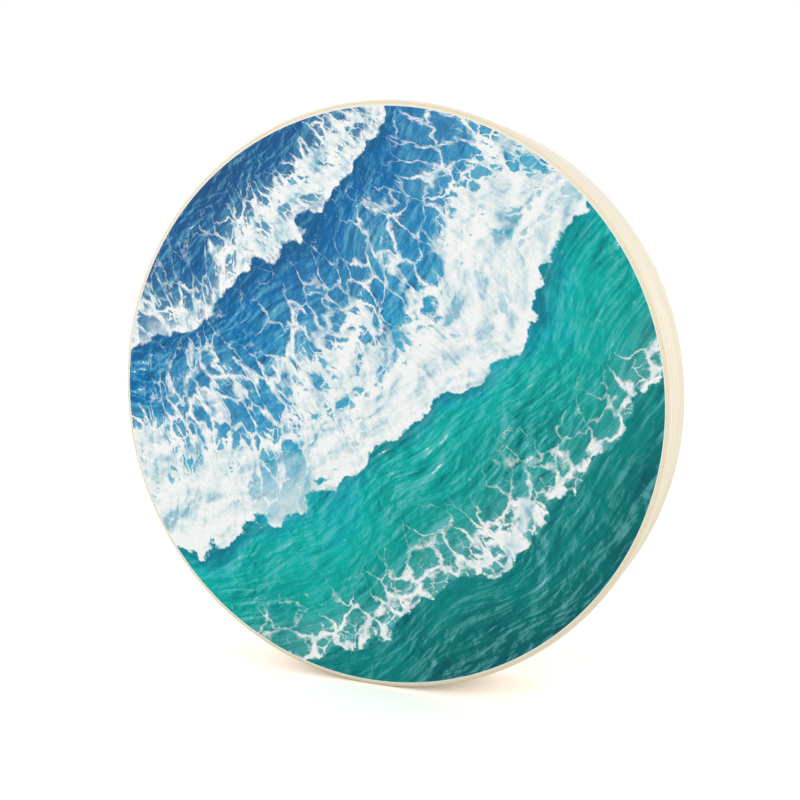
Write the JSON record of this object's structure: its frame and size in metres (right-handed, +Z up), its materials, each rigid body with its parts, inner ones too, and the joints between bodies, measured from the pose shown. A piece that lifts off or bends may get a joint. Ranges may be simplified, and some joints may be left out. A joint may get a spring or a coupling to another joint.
{
  "type": "ocean drum",
  "caption": "Round closed drum with a bent wooden hoop, a printed film head, a clear film head and loose steel shot that rolls inside to sound like surf.",
  "frame": {"origin": "on the floor, under the middle of the drum, where its rim touches the floor", "axes": "+Y along the drum's axis, from the printed head to the clear head; +Z up; +X to the right, seen from the printed head"},
  "size_m": [0.4, 0.06, 0.4],
  "materials": {
    "hoop_face_veneer": "fine sanded pale birch veneer, clear sealed",
    "hoop_core_veneer": "sanded ply edge",
    "printed_film": "white polyester film with a satin print",
    "clear_film": "clear polyester film, glossy",
    "glue": "dried wood glue",
    "steel_shot": "polished steel balls"
  },
  "bodies": {
    "drum": {"shell_outer_ply": "hoop_face_veneer", "shell_core_ply": "hoop_core_veneer", "shell_inner_ply": "hoop_face_veneer", "front_glue_ring": "glue", "back_glue_ring": "glue", "front_head": "printed_film", "back_head": "clear_film"},
    "shot_layer_1": {"bead_layer_1": "steel_shot"},
    "shot_layer_2": {"bead_layer_2": "steel_shot"},
    "shot_layer_3": {"bead_layer_3": "steel_shot"}
  },
  "joints": [
    {"name": "shot_layer_1_roll", "type": "hinge", "parent": "drum", "child": "shot_layer_1", "pos_m": [0, 0, 0.2], "axis": [0, 1, 0], "continuous": true},
    {"name": "shot_layer_2_roll", "type": "hinge", "parent": "drum", "child": "shot_layer_2", "pos_m": [0, 0, 0.2], "axis": [0, 1, 0], "continuous": true},
    {"name": "shot_layer_3_roll", "type": "hinge", "parent": "drum", "child": "shot_layer_3", "pos_m": [0, 0, 0.2], "axis": [0, 1, 0], "continuous": true}
  ]
}
